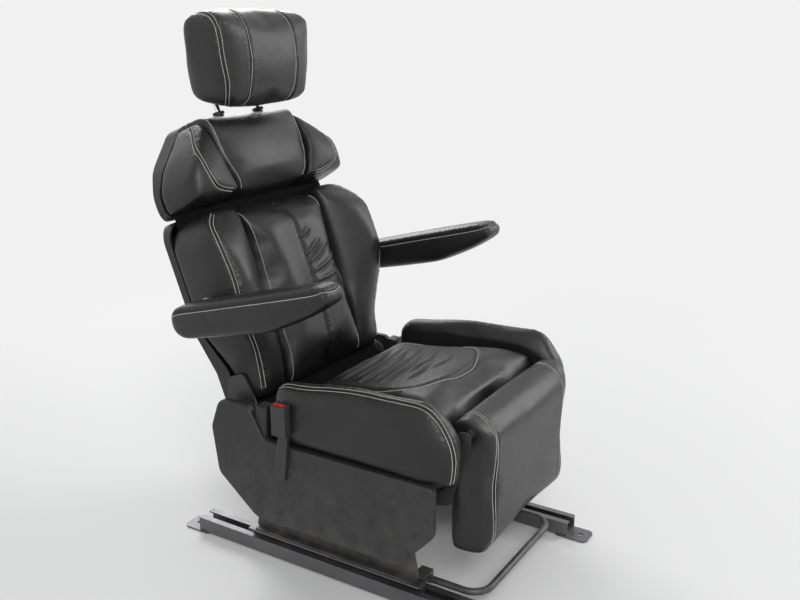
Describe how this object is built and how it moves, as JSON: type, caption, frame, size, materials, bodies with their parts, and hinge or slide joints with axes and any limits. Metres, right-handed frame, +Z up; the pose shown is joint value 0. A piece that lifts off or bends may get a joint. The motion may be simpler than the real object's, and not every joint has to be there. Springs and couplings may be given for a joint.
{
  "type": "captain's seat for a family van",
  "caption": "Padded captain's seat on floor rails, with reclining back, tilting shoulder section, headrest, folding armrests and hinged footrest.",
  "frame": {"origin": "middle of the four floor bolts, on the floor", "axes": "+Z up, the sitter faces -Y, +X to the sitter's left, the window side"},
  "size_m": [0.688, 0.8596, 1.1066],
  "materials": {
    "leather": "black grained leather with off-white topstitching",
    "moulded_plastic": "black grained moulding",
    "buckle_plastic": "fine satin moulding",
    "red_plastic": "smooth red push button",
    "chrome": "polished",
    "painted_steel": "satin black paint",
    "rail_steel": "dark zinc with a film of grease",
    "bare_steel": "turned steel"
  },
  "bodies": {
    "base": {"rail_left": "rail_steel", "rail_right": "rail_steel"},
    "seat": {"slider_left": "rail_steel", "slider_right": "rail_steel", "riser_left": "painted_steel", "riser_right": "painted_steel", "cushion_bolster_left": "leather", "cushion_bolster_right": "leather", "side_shield_left": "moulded_plastic", "side_shield_right": "moulded_plastic", "recliner_left": "painted_steel", "recliner_right": "painted_steel", "ottoman_bracket_left": "painted_steel", "ottoman_bracket_right": "painted_steel", "cross_tubes": "painted_steel", "cushion_pan": "painted_steel", "slide_bar": "painted_steel", "cushion_centre": "leather", "recline_lever": "moulded_plastic", "buckle_head": "buckle_plastic", "buckle_button": "red_plastic", "buckle_stalk": "buckle_plastic"},
    "ottoman": {"ottoman_pad": "leather", "ottoman_back": "moulded_plastic", "ottoman_pins": "bare_steel"},
    "backrest": {"back_shell": "moulded_plastic", "back_centre": "leather", "tilt_pins": "bare_steel", "back_bolster_left": "leather", "back_bolster_right": "leather", "back_bracket_left": "painted_steel", "back_bracket_right": "painted_steel", "armrest_pivot_left": "bare_steel", "armrest_pivot_right": "bare_steel"},
    "shoulders": {"upper_shell": "moulded_plastic", "shoulder_centre": "leather", "tilt_arms": "painted_steel", "post_guides": "buckle_plastic", "shoulder_wing_left": "leather", "shoulder_wing_right": "leather"},
    "headrest": {"headrest_pad": "leather", "post_left": "chrome", "post_right": "chrome"},
    "armrest_left": {"armrest_left": "leather"},
    "armrest_right": {"armrest_right": "leather"}
  },
  "joints": [
    {"name": "seat_slide", "type": "slide", "parent": "base", "child": "seat", "axis": [0, 1, 0], "range_m": [-0.14, 0.14]},
    {"name": "recline", "type": "hinge", "parent": "seat", "child": "backrest", "pos_m": [0, 0.2, 0.31], "axis": [-1, 0, 0], "range_deg": [-12, 45]},
    {"name": "shoulder_tilt", "type": "hinge", "parent": "backrest", "child": "shoulders", "pos_m": [0, 0.33114, 0.69348], "axis": [1, 0, 0], "range_deg": [0, 12]},
    {"name": "headrest_height", "type": "slide", "parent": "shoulders", "child": "headrest", "axis": [0, 0.3584, 0.9336], "range_m": [0, 0.07]},
    {"name": "armrest_left_fold", "type": "hinge", "parent": "backrest", "child": "armrest_left", "pos_m": [0, 0.23934, 0.53805], "axis": [-1, 0, 0], "range_deg": [0, 95]},
    {"name": "armrest_right_fold", "type": "hinge", "parent": "backrest", "child": "armrest_right", "pos_m": [0, 0.23934, 0.53805], "axis": [-1, 0, 0], "range_deg": [0, 95]},
    {"name": "ottoman_lift", "type": "hinge", "parent": "seat", "child": "ottoman", "pos_m": [0, -0.292, 0.372], "axis": [-1, 0, 0], "range_deg": [0, 80]}
  ]
}
